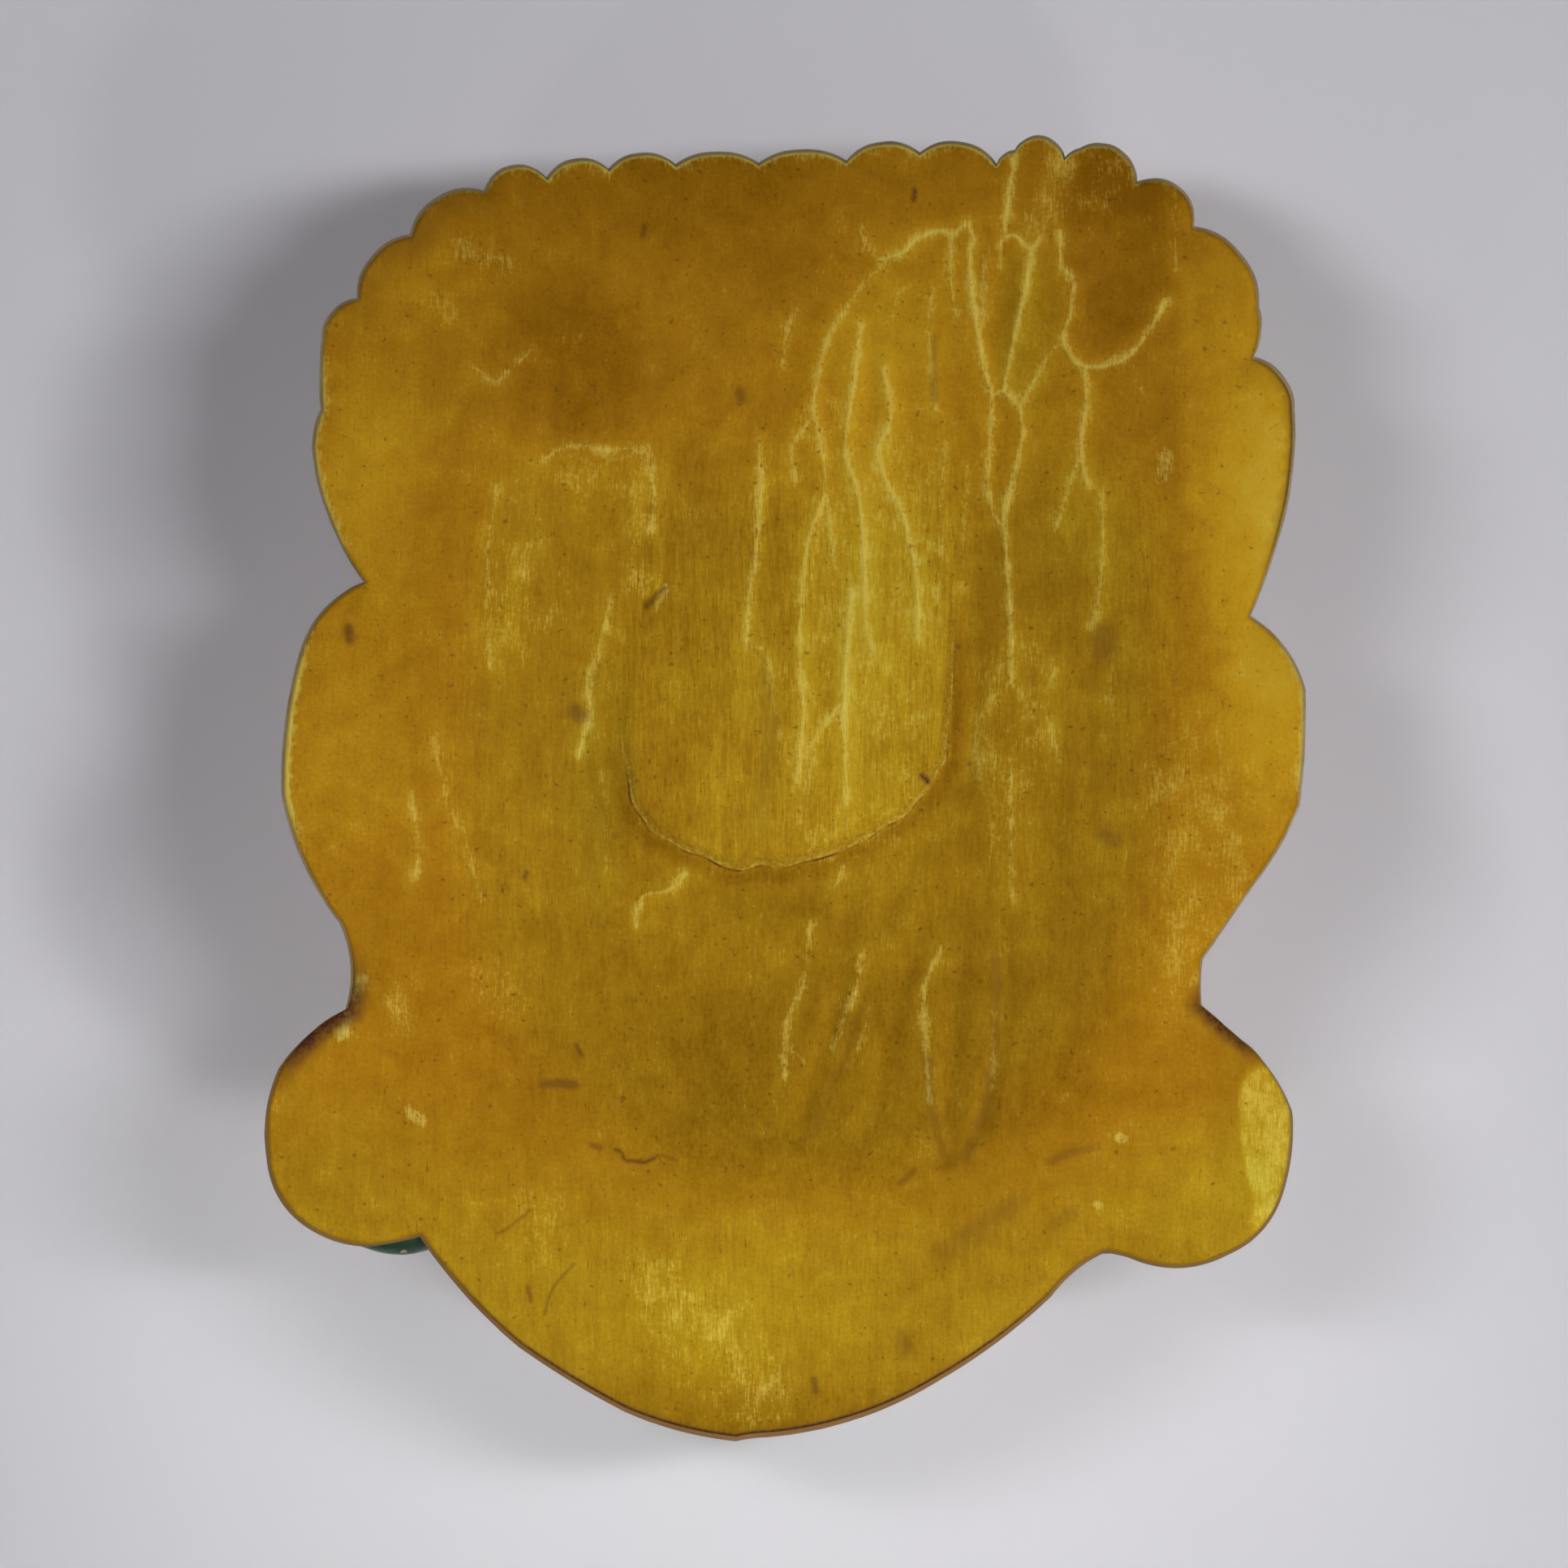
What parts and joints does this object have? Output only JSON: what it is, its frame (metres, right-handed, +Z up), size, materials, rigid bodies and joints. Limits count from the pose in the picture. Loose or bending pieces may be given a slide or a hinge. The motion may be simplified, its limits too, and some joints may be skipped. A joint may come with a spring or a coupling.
{
  "type": "garuda mask",
  "caption": "Carved and painted wooden garuda wall mask with a scalloped petal crown, hooked beak, ears and round earrings, hollow at the back and lying face down.",
  "frame": {"origin": "on the lying surface, under the middle of the mask's box", "axes": "+Z up, out of the hollow back; +Y towards the crown; +X to the right as seen from behind"},
  "size_m": [0.2396, 0.3054, 0.072],
  "materials": {
    "gold_paint": "satin gold paint over carved wood"
  },
  "bodies": {
    "root": {"mask": "gold_paint"}
  },
  "joints": []
}
